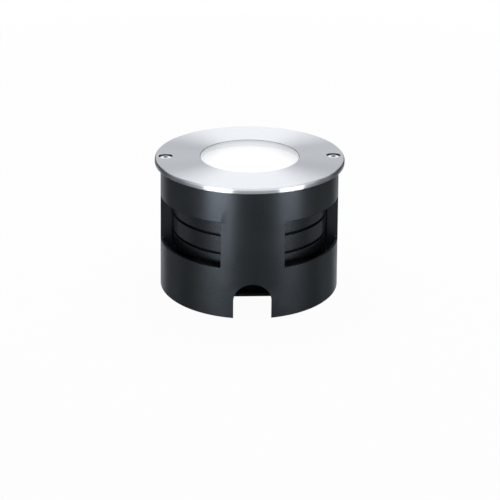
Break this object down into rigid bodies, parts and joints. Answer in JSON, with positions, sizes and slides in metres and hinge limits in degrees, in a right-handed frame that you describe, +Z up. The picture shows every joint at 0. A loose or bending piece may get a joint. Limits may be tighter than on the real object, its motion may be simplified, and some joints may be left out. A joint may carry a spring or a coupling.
{
  "type": "recessed ground spotlight",
  "caption": "Round in-ground spotlight with a brushed steel trim ring, lit frosted lens and a black windowed mounting pot from which the sealed lamp lifts out.",
  "frame": {"origin": "centre of the mounting pot's base, on the surface it stands on", "axes": "+Z up through the lens, the trim screws on X, the cable notches on Y with the gland to +Y"},
  "size_m": [0.11, 0.11, 0.0796],
  "materials": {
    "pot_plastic": "satin moulded",
    "ring_steel": "concentric brushed",
    "screw_steel": "bright",
    "housing_paint": "die-cast, satin black paint",
    "frosted_glass": "frosted white, lit",
    "seal_rubber": "matt",
    "clamp_metal": "turned",
    "reflector_metal": "polished",
    "board_white": "white solder mask",
    "chip_phosphor": "satin",
    "pad_grey": "matt",
    "board_green": "green solder mask",
    "capacitor_sleeve": "gloss",
    "component_black": "matt",
    "terminal_plastic": "matt",
    "lead_insulation": "satin",
    "gland_plastic": "matt"
  },
  "bodies": {
    "pot": {"mounting_pot": "pot_plastic"},
    "lamp": {"lamp_housing": "housing_paint", "front_glass": "frosted_glass", "glass_gasket": "seal_rubber", "clamp_ring": "clamp_metal", "clamp_screws": "screw_steel", "reflector": "reflector_metal", "led_board": "board_white", "led_chips": "chip_phosphor", "thermal_pad": "pad_grey", "board_screws": "screw_steel", "driver_board": "board_green", "driver_screws": "screw_steel", "smoothing_capacitor": "capacitor_sleeve", "drive_inductor": "component_black", "driver_chips": "component_black", "terminal_block": "terminal_plastic", "led_leads": "lead_insulation", "base_cover": "housing_paint", "cover_seal": "seal_rubber", "cover_screws": "screw_steel", "gland_washer": "seal_rubber", "gland_body": "gland_plastic", "gland_bush": "seal_rubber"},
    "trim": {"trim_ring": "ring_steel"},
    "left_screw": {"trim_screw_left": "screw_steel"},
    "right_screw": {"trim_screw_right": "screw_steel"},
    "cap": {"gland_cap": "gland_plastic"}
  },
  "joints": [
    {"name": "lamp_lift", "type": "slide", "parent": "pot", "child": "lamp", "axis": [0, 0, 1], "range_m": [0, 0.08]},
    {"name": "trim_lift", "type": "slide", "parent": "lamp", "child": "trim", "axis": [0, 0, 1], "range_m": [0, 0.03]},
    {"name": "left_screw_turn", "type": "hinge", "parent": "trim", "child": "left_screw", "pos_m": [-0.0487, 0, 0.078], "axis": [0, 0, 1], "continuous": true},
    {"name": "right_screw_turn", "type": "hinge", "parent": "trim", "child": "right_screw", "pos_m": [0.0487, 0, 0.078], "axis": [0, 0, 1], "continuous": true},
    {"name": "cap_turn", "type": "hinge", "parent": "lamp", "child": "cap", "pos_m": [0, 0.023, 0.0145], "axis": [0, 1, 0], "continuous": true}
  ]
}
